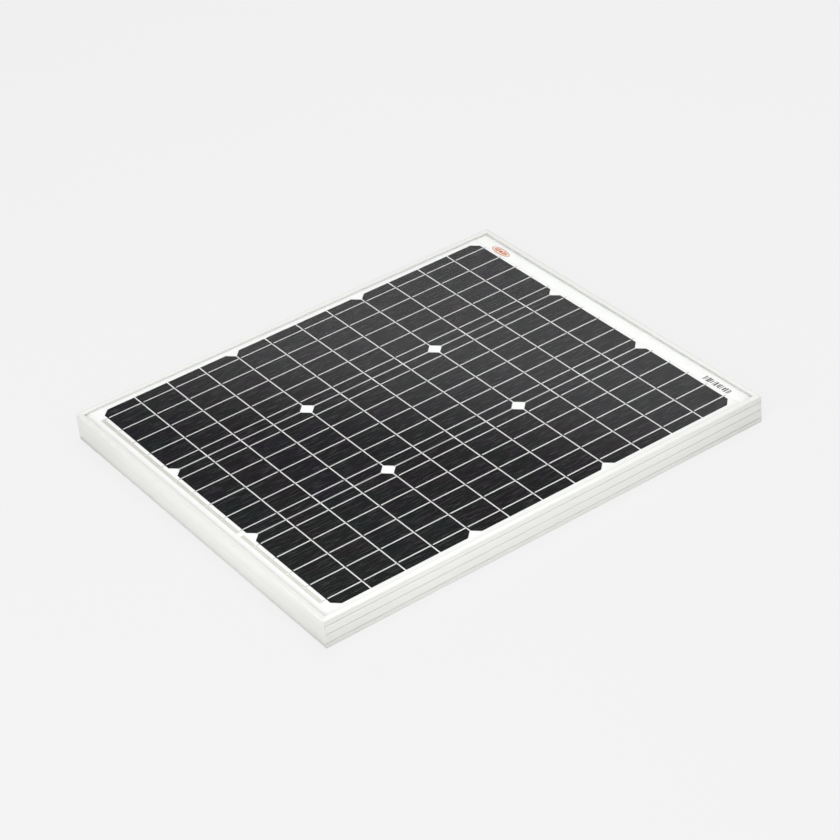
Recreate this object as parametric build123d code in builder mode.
from build123d import *
import os

os.makedirs("parts", exist_ok=True)

# Framed solar panel, millimetres. X runs along the long side, Z points out of the glass.
# The origin is the centre of the rear mounting plane, which the frame's flanges lie in.

# ---- Driving dimensions: frame ----
length = 592.0
width = 504.0
height = 35.0
wall = 1.5  # outer wall of a rail
rail_web = 1.4  # shelf and chamber walls inside a rail
lip_width = 6.2  # what covers the rim of the glass
lip_thickness = 1.2
lip_edge_radius = 0.7
channel_floor = 28.2  # height of the shelf that the laminate is bedded on
chamber_width = 11.0
chamber_floor = 12.0
flange_width = 24.0
flange_thickness = 1.5
flange_bead = 1.0
groove_heights = (6.2, 17.0, 27.7)  # decorative grooves in the long rails only
groove_width = 1.5
groove_depth = 0.5
slot_spacing = 360.0
slot_length = 12.0
slot_width = 7.0
fixing_inset = 13.0  # from a rail's outer face to the centre of its fixing holes
ground_hole_diameter = 4.2
drain_hole_diameter = 6.0
drain_hole_y = 200.0
key_arm = 45.0
key_hole_reach = 31.5
key_clearance = 0.1
key_hole_diameter = 5.0

# ---- Driving dimensions: laminate ----
edge_gap = 3.0  # from the frame's outer face to the edge of the glass
laminate_corner = 2.0
glass_edge_chamfer = 0.4
top_seal = 0.1
glass_thickness = 3.2
eva_thickness = 0.45
ribbon_thickness = 0.2
cell_thickness = 0.2
backsheet_thickness = 0.35

# ---- Driving dimensions: cells, cut from 156.75 mm pseudo-square wafers ----
cell_width = 156.75
row_gap = 2.0
edge_strip = 44.05
inner_strip = 42.65
strip_gap = 1.7
corner_cut = 8.5
groups = 3
left_margin = 25.0  # from the frame's outer face to the first cell
cells_y = 0.9  # the cell block lies this far towards the back rail
ribbons_per_row = 5
ribbon_pitch = 31.26
ribbon_width = 1.6
ribbon_inset = 1.5
jog_clearance = 0.2

# ---- Driving dimensions: bus ribbons, leads and labels ----
bus_width = 4.4
left_bus_gap = 4.2
right_bus_gap = 5.6
bus_lane_pitch = 7.5
bus_overhang = 0.8
left_terminal_reach = 23.0  # how far the left terminal bus runs on past its last ribbon
cover_gap = 3.6
cover_edge_gap = 4.0  # from the frame's outer face to the film
cover_thickness = 0.1
cover_half_length = 243.0
label_thickness = 0.1
emblem_size = (11.0, 32.0)
code_label_size = (10.0, 48.0)
label_corner = 1.0
label_x_gap = 10.0
emblem_y = 200.0
code_label_y = -198.0
lead_width = 4.0
lead_thickness = 0.2
lead_tab_x = 235.0
mid_lead_y = 4.0  # between the front and middle ribbons of the middle string
nameplate_size = (90.0, 60.0)
nameplate_corner = 3.0
nameplate_x = -120.0
nameplate_thickness = 0.15

# ---- Driving dimensions: junction box ----
box_x = 215.0
box_size = (75.0, 105.0)  # along X and Y
box_corner = 5.0
box_wall = 2.2
box_flange = 5.0
box_flange_thickness = 2.0
bead_thickness = 1.0
bead_width = 7.0
rim_z = 10.4
lid_bottom_z = 6.6
lid_plate = 2.4
lid_edge_clearance = 0.3
tongue_height = 2.6
tongue_wall = 1.4
tongue_clearance = 0.4
gasket_height = 1.1
window_size = (7.0, 58.0)
terminal_pitch = 24.0
terminal_size = (37.0, 12.0, 1.0)
terminal_z = 21.6
post_size = (30.0, 10.0)
post_offset = 2.0  # the posts' centres lie this far left of the terminals' centres
screw_x = 203.0
screw_diameter = 3.0
screw_head_diameter = 5.2
screw_head_height = 1.8
diode_x = 218.0
diode_diameter = 5.4
diode_length = 8.0
diode_wire_diameter = 1.2
diode_wire_length = 20.0
gland_y = 27.0
gland_z = 18.7
gland_thread_diameter = 10.0
gland_hex = 13.0
gland_hex_length = 4.0
gland_bore_diameter = 6.0
gland_thread_length = 8.0
thread_overrun = 1.0  # thread left past the locknut
seal_outer_diameter = 7.8
seal_inner_diameter = 5.0
seal_length = 9.0
locknut_hex = 13.5
locknut_length = 3.0
nut_hex = 13.5
nut_gap = 0.6
nut_hex_length = 8.0
nut_dome_length = 4.5
nut_dome_taper = 25.0  # degrees
nut_mouth_diameter = 6.0
hinge_offset = 3.8  # from the box wall to the hinge axis
hinge_z = 8.0
pin_radius = 1.3
knuckle_radius = 2.6
pin_clearance = 0.05
knuckle_length = 8.0
knuckle_gap = 0.3
knuckle_arm_top = 14.4  # the base's hinge arms reach up the wall to this height
lid_knuckle_y = 12.0
lid_arm_overlap = 2.0  # how far the lid's hinge arms and catch tab run in under the box
catch_gap = 0.4
catch_lug = (1.0, 12.0, 2.0)
catch_tab = (1.8, 16.0, 17.0)
catch_lug_z = 13.0

# ---- Heights of the layers, from the glass down ----
half_length = length / 2
half_width = width / 2
lip_underside = height - lip_thickness
glass_top = lip_underside - top_seal
glass_bottom = glass_top - glass_thickness
front_ribbon_top = glass_bottom - eva_thickness
cell_top = front_ribbon_top - ribbon_thickness
cell_bottom = cell_top - cell_thickness
rear_ribbon_bottom = cell_bottom - ribbon_thickness
backsheet_top = rear_ribbon_bottom - eva_thickness
backsheet_bottom = backsheet_top - backsheet_thickness
lead_top = backsheet_top + lead_thickness

# ---- Places worked out from the driving dimensions ----
laminate_size = (length - 2 * edge_gap, width - 2 * edge_gap)
row_pitch = cell_width + row_gap
rows = {"back": cells_y + row_pitch, "middle": cells_y, "front": cells_y - row_pitch}
group_length = 2 * edge_strip + 2 * inner_strip + 3 * strip_gap
group_pitch = group_length + strip_gap
block_left = -half_length + left_margin
block_right = block_left + groups * group_pitch - strip_gap
strips = []
for group in range(groups):
    strip_left = block_left + group * group_pitch
    for strip_width in (edge_strip, inner_strip, inner_strip, edge_strip):
        strips.append((strip_left, strip_left + strip_width))
        strip_left += strip_width + strip_gap
outer_ribbon = (ribbons_per_row - 1) / 2 * ribbon_pitch
ribbon_offsets = [i * ribbon_pitch - outer_ribbon for i in range(ribbons_per_row)]
left_bus = (block_left - left_bus_gap - bus_width, block_left - left_bus_gap)
right_lane = (block_right + right_bus_gap, block_right + right_bus_gap + bus_width)
outer_lane = (right_lane[0] + bus_lane_pitch, right_lane[1] + bus_lane_pitch)
box_left = box_x - box_size[0] / 2
box_right = box_x + box_size[0] / 2
base_top = backsheet_bottom - bead_thickness
lid_top = lid_bottom_z + lid_plate
hinge_x = box_right + hinge_offset
terminal_right = lead_tab_x - lead_thickness / 2
terminal_x = terminal_right - terminal_size[0] / 2
label_x = block_right + label_x_gap


def block(low, high, mode=Mode.ADD):
    """A box given by its lowest and highest corners."""
    sides = [b - a for a, b in zip(low, high)]
    with Locations(low):
        Box(*sides, align=(Align.MIN, Align.MIN, Align.MIN), mode=mode)


def bar(low, high):
    """A rectangle in a sketch, given by its lowest and highest corners."""
    with Locations(low):
        Rectangle(high[0] - low[0], high[1] - low[1], align=(Align.MIN, Align.MIN))


def save(piece, name):
    """Labels a finished piece and writes its STEP file."""
    piece.part.label = name
    export_step(piece.part, f"parts/{name}.step")


# ---- Frame rails: one extrusion section, mitred at 45 degrees ----
def rail_section(plane, grooved):
    """Section of a rail. x runs inward from the outer face, y runs up from the mounting plane."""
    with BuildSketch(plane) as section:
        bar((0, 0), (wall, height))
        bar((0, lip_underside), (lip_width, height))
        bar((0, channel_floor - rail_web), (chamber_width, channel_floor))
        bar((chamber_width - rail_web, chamber_floor), (chamber_width, channel_floor))
        bar((0, chamber_floor), (chamber_width, chamber_floor + rail_web))
        bar((0, 0), (flange_width, flange_thickness))
        bar((flange_width - rail_web, 0), (flange_width, flange_thickness + flange_bead))
        outer_top = section.vertices().group_by(Axis.Y)[-1].sort_by(Axis.X)[0]
        fillet(outer_top, lip_edge_radius)
        if grooved:
            with Locations(*[(0, z) for z in groove_heights]):
                Rectangle(2 * groove_depth, groove_width, mode=Mode.SUBTRACT)
    return section.sketch


rails = {
    "rail_front": ((-half_length, -half_width), (0, 1), (1, 0), length),
    "rail_back": ((half_length, half_width), (0, -1), (-1, 0), length),
    "rail_right": ((half_length, -half_width), (-1, 0), (0, 1), width),
    "rail_left": ((-half_length, half_width), (1, 0), (0, -1), width),
}
for rail_name, (corner, inward, run, span) in rails.items():
    is_long = span == length
    start = Vector(*corner, 0)
    inward_way = Vector(*inward, 0)
    run_way = Vector(*run, 0)
    end = start + run_way * span
    section_plane = Plane(origin=start, x_dir=inward_way, z_dir=run_way)
    section_face = rail_section(section_plane, is_long)
    with BuildPart() as rail:
        extrude(section_face, amount=span)
        split(bisect_by=Plane(origin=start, z_dir=run_way - inward_way), keep=Keep.TOP)
        split(bisect_by=Plane(origin=end, z_dir=-run_way - inward_way), keep=Keep.TOP)
        fixing_line = start + inward_way * fixing_inset + run_way * (span / 2)
        along = Plane(origin=fixing_line, x_dir=run_way, z_dir=(0, 0, 1))
        with BuildSketch(along):
            if is_long:
                with GridLocations(slot_spacing, 0, 2, 1):
                    SlotOverall(slot_length, slot_width)
                Circle(ground_hole_diameter / 2)
            else:
                with GridLocations(2 * drain_hole_y, 0, 2, 1):
                    Circle(drain_hole_diameter / 2)
        extrude(amount=flange_thickness, mode=Mode.SUBTRACT)
    save(rail, rail_name)

# ---- Corner keys: L-shaped blocks staked inside the rails' chambers ----
for end_name, sx in (("left", -1), ("right", 1)):
    for side_name, sy in (("front", -1), ("back", 1)):
        key_plane = Plane(
            origin=(sx * half_length, sy * half_width, chamber_floor + rail_web + key_clearance),
            x_dir=(-sx, 0, 0),
            z_dir=(0, 0, sx * sy),
        )
        key_inner = chamber_width - rail_web
        key_height = channel_floor - chamber_floor - 2 * (rail_web + key_clearance)
        with BuildPart() as corner_key:
            with BuildSketch(key_plane):
                bar((wall, wall), (wall + key_arm, key_inner))
                bar((wall, wall), (key_inner, wall + key_arm))
                hole_at = wall + key_hole_reach
                hole_across = (wall + key_inner) / 2
                with Locations((hole_at, hole_across), (hole_across, hole_at)):
                    Circle(key_hole_diameter / 2, mode=Mode.SUBTRACT)
            extrude(amount=sx * sy * key_height)
        save(corner_key, f"corner_key_{side_name}_{end_name}")

# ---- Edge sealant: silicone that fills the channel round the laminate ----
with BuildPart() as edge_sealant:
    with BuildSketch(Plane.XY.offset(channel_floor)):
        Rectangle(length - 2 * wall, width - 2 * wall)
        Rectangle(length - 2 * chamber_width, width - 2 * chamber_width, mode=Mode.SUBTRACT)
    extrude(amount=backsheet_bottom - channel_floor)
    with BuildSketch(Plane.XY.offset(backsheet_bottom)):
        Rectangle(length - 2 * wall, width - 2 * wall)
        RectangleRounded(*laminate_size, laminate_corner, mode=Mode.SUBTRACT)
    extrude(amount=glass_top - backsheet_bottom)
    with BuildSketch(Plane.XY.offset(glass_top)):
        Rectangle(length - 2 * wall, width - 2 * wall)
        Rectangle(length - 2 * lip_width, width - 2 * lip_width, mode=Mode.SUBTRACT)
    extrude(amount=top_seal)
save(edge_sealant, "edge_sealant")

# ---- Laminate sheets ----
with BuildPart() as front_glass:
    with BuildSketch(Plane.XY.offset(glass_bottom)):
        RectangleRounded(*laminate_size, laminate_corner)
    extrude(amount=glass_thickness)
    chamfer(front_glass.edges().group_by(Axis.Z)[-1], glass_edge_chamfer)
save(front_glass, "front_glass")

with BuildPart() as eva_front:
    with BuildSketch(Plane.XY.offset(front_ribbon_top)):
        RectangleRounded(*laminate_size, laminate_corner)
    extrude(amount=eva_thickness)
save(eva_front, "eva_front")

with BuildPart() as backsheet:
    with BuildSketch(Plane.XY.offset(backsheet_bottom)):
        RectangleRounded(*laminate_size, laminate_corner)
        with Locations((lead_tab_x, 0)):
            Rectangle(*window_size, mode=Mode.SUBTRACT)
    extrude(amount=backsheet_thickness)
save(backsheet, "backsheet")

# ---- Cells: three strings of twelve strips, in groups of four with cut corners ----
first_group_x = block_left + group_length / 2
group_centres = [first_group_x + i * group_pitch for i in range(groups)]
gap_centres = [(a[1] + b[0]) / 2 for a, b in zip(strips, strips[1:])]
for row_name, row_y in rows.items():
    with BuildPart() as cell_string:
        with BuildSketch(Plane.XY.offset(cell_bottom)) as strip_outline:
            with Locations(*[(x, row_y) for x in group_centres]):
                Rectangle(group_length, cell_width)
            chamfer(strip_outline.vertices(), corner_cut)
            with Locations(*[(x, row_y) for x in gap_centres]):
                Rectangle(strip_gap, cell_width, mode=Mode.SUBTRACT)
        extrude(amount=cell_thickness)
    save(cell_string, f"cell_string_{row_name}")


# ---- Tab ribbons: each joins the front of one strip to the back of the next ----
def front_to_back(front_end, rise_from, fall_to, back_end):
    """Side view of a ribbon that lies on one strip, steps down in the gap and runs under the next."""
    side = 1 if back_end > front_end else -1
    high_turn = rise_from + side * jog_clearance
    low_turn = fall_to - side * jog_clearance
    step = side * 2 * ribbon_thickness
    Polygon(
        (front_end, cell_top),
        (high_turn, cell_top),
        (low_turn - step, rear_ribbon_bottom),
        (back_end, rear_ribbon_bottom),
        (back_end, cell_bottom),
        (low_turn, cell_bottom),
        (high_turn + step, front_ribbon_top),
        (front_end, front_ribbon_top),
        align=None,
    )


first, last = strips[0], strips[-1]
for row_name, row_y in rows.items():
    ribbon_sides = [Plane.XZ.offset(-(row_y + y + ribbon_width / 2)) for y in ribbon_offsets]
    right_end = outer_lane[1] if row_name == "back" else right_lane[1]
    runs_right = row_name != "middle"
    with BuildPart() as tab_ribbons:
        with BuildSketch(*ribbon_sides):
            for a, b in zip(strips, strips[1:]):
                if runs_right:
                    front_to_back(a[0] + ribbon_inset, a[1], b[0], b[1] - ribbon_inset)
                else:
                    front_to_back(b[1] - ribbon_inset, b[0], a[1], a[0] + ribbon_inset)
            if runs_right:
                bar((left_bus[0], rear_ribbon_bottom), (first[1] - ribbon_inset, cell_bottom))
                front_to_back(last[0] + ribbon_inset, last[1], last[1] + strip_gap, right_end)
            else:
                bar((last[0] + ribbon_inset, rear_ribbon_bottom), (right_end, cell_bottom))
                front_to_back(first[1] - ribbon_inset, first[0], first[0] - strip_gap, left_bus[0])
        extrude(amount=ribbon_width)
    save(tab_ribbons, f"tab_ribbons_{row_name}")

# ---- Bus ribbons across the ends of the strings, and the film over the right ones ----
reach = outer_ribbon + ribbon_width / 2 + bus_overhang
lead_pad_ys = {"minus": terminal_pitch, "mid": mid_lead_y}
left_terminal_end = rows["front"] + reach + left_terminal_reach
lead_pad_ys["plus"] = left_terminal_end - lead_width / 2
buses = {
    "bus_left_pair": (left_bus, rows["middle"] - reach, rows["back"] + reach),
    "bus_left_terminal": (left_bus, rows["front"] - reach, left_terminal_end),
    "bus_right_pair": (right_lane, rows["front"] - reach, rows["middle"] + reach),
    "bus_right_terminal": (
        outer_lane,
        lead_pad_ys["minus"] - lead_width / 2,
        rows["back"] + reach,
    ),
}
for bus_name, (lane, low_y, high_y) in buses.items():
    with BuildPart() as bus:
        block((lane[0], low_y, cell_bottom), (lane[1], high_y, cell_top))
    save(bus, bus_name)

with BuildPart() as cover_film:
    block(
        (block_right + cover_gap, -cover_half_length, cell_top),
        (half_length - cover_edge_gap, cover_half_length, cell_top + cover_thickness),
    )
save(cover_film, "cover_film")

# ---- Marks under the glass: a plain oval and a plain oblong label ----
with BuildPart() as emblem_label:
    with BuildSketch(Plane((label_x, emblem_y, cell_top + cover_thickness))):
        Ellipse(emblem_size[0] / 2, emblem_size[1] / 2)
    extrude(amount=label_thickness)
save(emblem_label, "emblem_label")

with BuildPart() as code_label:
    with BuildSketch(Plane((label_x, code_label_y, cell_top + cover_thickness))):
        RectangleRounded(*code_label_size, label_corner)
    extrude(amount=label_thickness)
save(code_label, "code_label")

# ---- Output leads: flat copper behind the cells, from the buses to the junction box ----
lead_lanes = {"minus": outer_lane, "mid": right_lane, "plus": left_bus}
terminal_ys = {"minus": terminal_pitch, "mid": 0.0, "plus": -terminal_pitch}
half_lead = lead_width / 2


def lead_pieces(lead_name):
    """The boxes of one lead: solder pad, run behind the cells, turn and tab into the box."""
    pad_y = lead_pad_ys[lead_name]
    tab_y = pad_y if lead_name == "mid" else terminal_ys[lead_name]
    lane = lead_lanes[lead_name]
    run_xs = sorted((lane[0], lane[1], lead_tab_x + lead_thickness / 2))
    turn_ys = sorted((pad_y - half_lead, pad_y + half_lead, tab_y - half_lead, tab_y + half_lead))
    tab_left = lead_tab_x - lead_thickness / 2
    tab_right = lead_tab_x + lead_thickness / 2
    return [
        ((lane[0], pad_y - half_lead, backsheet_top), (lane[1], pad_y + half_lead, cell_bottom)),
        ((run_xs[0], pad_y - half_lead, backsheet_top), (run_xs[-1], pad_y + half_lead, lead_top)),
        ((tab_right - lead_width, turn_ys[0], backsheet_top), (tab_right, turn_ys[-1], lead_top)),
        ((tab_left, tab_y - half_lead, terminal_z), (tab_right, tab_y + half_lead, lead_top)),
    ]


for lead_name in lead_lanes:
    with BuildPart() as lead:
        for low, high in lead_pieces(lead_name):
            block(low, high)
    save(lead, f"output_lead_{lead_name}")

with BuildPart() as eva_rear:
    with BuildSketch(Plane.XY.offset(backsheet_top)):
        RectangleRounded(*laminate_size, laminate_corner)
    extrude(amount=eva_thickness)
    for lead_name in lead_lanes:
        for low, high in lead_pieces(lead_name):
            block(low, high, mode=Mode.SUBTRACT)
save(eva_rear, "eva_rear")

with BuildPart() as nameplate:
    with BuildSketch(Plane((nameplate_x, 0, backsheet_bottom - nameplate_thickness))):
        RectangleRounded(*nameplate_size, nameplate_corner)
    extrude(amount=nameplate_thickness)
save(nameplate, "nameplate")


# ---- Junction box: base, opened downward, with posts, hinge knuckles and a catch lug ----
def box_plane(z):
    """A level plane centred on the junction box."""
    return Plane((box_x, 0, z))


def box_outline(grow, mode=Mode.ADD):
    """The box's outline in a sketch, grown or shrunk all round."""
    sides = [side + 2 * grow for side in box_size]
    RectangleRounded(*sides, box_corner + grow, mode=mode)


def gland_plane(y, start=0.0):
    """A plane across a gland's axis, start millimetres out from the box wall."""
    return Plane((box_left - start, y, gland_z), x_dir=(0, 1, 0), z_dir=(-1, 0, 0))


def gland_planes(start=0.0):
    """The same plane for both glands."""
    return [gland_plane(y, start) for y in (-gland_y, gland_y)]


def hinge_plane(y):
    """A plane across the hinge axis, facing the back of the panel."""
    return Plane((hinge_x, y, hinge_z), x_dir=(1, 0, 0), z_dir=(0, 1, 0))


base_knuckle_y = lid_knuckle_y + knuckle_length + knuckle_gap
with BuildPart() as bead:
    with BuildSketch(box_plane(base_top)):
        box_outline(box_flange)
        box_outline(box_flange - bead_width, mode=Mode.SUBTRACT)
    extrude(amount=bead_thickness)
save(bead, "jbox_adhesive")

with BuildPart() as jbox_base:
    with BuildSketch(box_plane(base_top - box_flange_thickness)):
        box_outline(box_flange)
    extrude(amount=box_flange_thickness)
    with BuildSketch(box_plane(rim_z)):
        box_outline(0)
        box_outline(-box_wall, mode=Mode.SUBTRACT)
    extrude(amount=base_top - box_flange_thickness - rim_z)
    with BuildSketch(Plane((lead_tab_x, 0, base_top - box_flange_thickness))):
        Rectangle(*window_size)
    extrude(amount=box_flange_thickness, mode=Mode.SUBTRACT)
    with BuildSketch(Plane((terminal_x - post_offset, 0, terminal_z + terminal_size[2]))):
        with Locations(*[(0, y) for y in terminal_ys.values()]):
            Rectangle(*post_size)
    extrude(amount=base_top - box_flange_thickness - terminal_z - terminal_size[2])
    with BuildSketch(Plane((screw_x, 0, terminal_z))):
        with Locations(*[(0, y) for y in terminal_ys.values()]):
            Circle(screw_diameter / 2)
    extrude(amount=base_top - box_flange_thickness - terminal_z, mode=Mode.SUBTRACT)
    with BuildSketch(*gland_planes()):
        Circle(gland_thread_diameter / 2)
    extrude(amount=-box_wall, mode=Mode.SUBTRACT)
    for low_y in (base_knuckle_y, -base_knuckle_y - knuckle_length):
        block(
            (box_right, low_y, hinge_z),
            (hinge_x + knuckle_radius, low_y + knuckle_length, knuckle_arm_top),
        )
        with BuildSketch(hinge_plane(low_y)):
            Circle(knuckle_radius)
        extrude(amount=knuckle_length)
        with BuildSketch(hinge_plane(low_y)):
            Circle(pin_radius)
        extrude(amount=knuckle_length, mode=Mode.SUBTRACT)
    block(
        (box_left - catch_lug[0], -catch_lug[1] / 2, catch_lug_z),
        (box_left, catch_lug[1] / 2, catch_lug_z + catch_lug[2]),
    )
save(jbox_base, "jbox_base")

# ---- Lid, its gasket and the hinge pin ----
with BuildPart() as jbox_lid:
    with BuildSketch(box_plane(lid_bottom_z)):
        box_outline(-lid_edge_clearance)
    extrude(amount=lid_plate)
    with BuildSketch(box_plane(lid_top)):
        box_outline(-box_wall - tongue_clearance)
        box_outline(-box_wall - tongue_clearance - tongue_wall, mode=Mode.SUBTRACT)
    extrude(amount=tongue_height)
    for low_y in (lid_knuckle_y, -lid_knuckle_y - knuckle_length):
        block(
            (box_right - lid_arm_overlap, low_y, lid_bottom_z),
            (hinge_x, low_y + knuckle_length, lid_top),
        )
        with BuildSketch(hinge_plane(low_y)):
            Circle(knuckle_radius)
        extrude(amount=knuckle_length)
        with BuildSketch(hinge_plane(low_y)):
            Circle(pin_radius + pin_clearance)
        extrude(amount=knuckle_length, mode=Mode.SUBTRACT)
    tab_inner = box_left - catch_lug[0] - catch_gap
    tab_half = catch_tab[1] / 2
    block(
        (tab_inner - catch_tab[0], -tab_half, lid_bottom_z),
        (box_left + lid_arm_overlap, tab_half, lid_top),
    )
    block(
        (tab_inner - catch_tab[0], -tab_half, lid_bottom_z),
        (tab_inner, tab_half, catch_tab[2]),
    )
save(jbox_lid, "jbox_lid")

with BuildPart() as lid_gasket:
    with BuildSketch(box_plane(lid_top)):
        box_outline(-lid_edge_clearance)
        box_outline(-box_wall, mode=Mode.SUBTRACT)
    extrude(amount=gasket_height)
save(lid_gasket, "jbox_lid_gasket")

pin_half = base_knuckle_y + knuckle_length
with BuildPart() as hinge_pin:
    with BuildSketch(hinge_plane(-pin_half)):
        Circle(pin_radius)
    extrude(amount=2 * pin_half)
save(hinge_pin, "jbox_hinge_pin")

# ---- Terminals, their screws and the bypass diodes ----
for terminal_name, terminal_y in terminal_ys.items():
    with BuildPart() as terminal:
        with BuildSketch(Plane((terminal_x, terminal_y, terminal_z))):
            Rectangle(terminal_size[0], terminal_size[1])
            with Locations((screw_x - terminal_x, 0)):
                Circle(screw_diameter / 2, mode=Mode.SUBTRACT)
        extrude(amount=terminal_size[2])
    save(terminal, f"terminal_{terminal_name}")

with BuildPart() as terminal_screws:
    with BuildSketch(Plane((screw_x, 0, terminal_z - screw_head_height))):
        with Locations(*[(0, y) for y in terminal_ys.values()]):
            Circle(screw_head_diameter / 2)
    extrude(amount=screw_head_height)
    with BuildSketch(Plane((screw_x, 0, terminal_z))):
        with Locations(*[(0, y) for y in terminal_ys.values()]):
            Circle(screw_diameter / 2)
    extrude(amount=base_top - box_flange_thickness - terminal_z)
save(terminal_screws, "terminal_screws")

diode_z = terminal_z - diode_wire_diameter / 2
with BuildPart() as bypass_diodes:
    for middle_y in (-terminal_pitch / 2, terminal_pitch / 2):
        for diameter, long in (
            (diode_diameter, diode_length),
            (diode_wire_diameter, diode_wire_length),
        ):
            with BuildSketch(Plane((diode_x, middle_y + long / 2, diode_z), z_dir=(0, -1, 0))):
                Circle(diameter / 2)
            extrude(amount=long)
save(bypass_diodes, "bypass_diodes")

# ---- Cable glands: body, locknut, rubber seal and dome nut ----
thread_end = gland_hex_length + gland_thread_length
stub = box_wall + locknut_length + thread_overrun
with BuildPart() as gland_bodies:
    with BuildSketch(*gland_planes()):
        RegularPolygon(gland_hex / 2, 6, major_radius=False)
    extrude(amount=gland_hex_length)
    with BuildSketch(*gland_planes(-stub)):
        Circle(gland_thread_diameter / 2)
    extrude(amount=stub + thread_end)
    with BuildSketch(*gland_planes(-stub)):
        Circle(gland_bore_diameter / 2)
    extrude(amount=stub + thread_end, mode=Mode.SUBTRACT)
    with BuildSketch(*gland_planes(thread_end - seal_length)):
        Circle(seal_outer_diameter / 2)
    extrude(amount=seal_length, mode=Mode.SUBTRACT)
save(gland_bodies, "gland_bodies")

with BuildPart() as gland_seals:
    with BuildSketch(*gland_planes(thread_end - seal_length)):
        Circle(seal_outer_diameter / 2)
        Circle(seal_inner_diameter / 2, mode=Mode.SUBTRACT)
    extrude(amount=seal_length)
save(gland_seals, "gland_seals")

with BuildPart() as gland_locknuts:
    with BuildSketch(*gland_planes(-box_wall - locknut_length)):
        RegularPolygon(locknut_hex / 2, 6, major_radius=False)
        Circle(gland_thread_diameter / 2, mode=Mode.SUBTRACT)
    extrude(amount=locknut_length)
save(gland_locknuts, "gland_locknuts")

nut_start = gland_hex_length + nut_gap
nut_hex_end = nut_start + nut_hex_length
with BuildPart() as gland_nuts:
    with BuildSketch(*gland_planes(nut_start)):
        RegularPolygon(nut_hex / 2, 6, major_radius=False)
    extrude(amount=nut_hex_length)
    with BuildSketch(*gland_planes(nut_hex_end)):
        Circle(nut_hex / 2)
    extrude(amount=nut_dome_length, taper=nut_dome_taper)
    with BuildSketch(*gland_planes(nut_start)):
        Circle(gland_thread_diameter / 2)
    extrude(amount=thread_end - nut_start, mode=Mode.SUBTRACT)
    with BuildSketch(*gland_planes(thread_end)):
        Circle(nut_mouth_diameter / 2)
    extrude(amount=nut_hex_end + nut_dome_length - thread_end, mode=Mode.SUBTRACT)
save(gland_nuts, "gland_nuts")
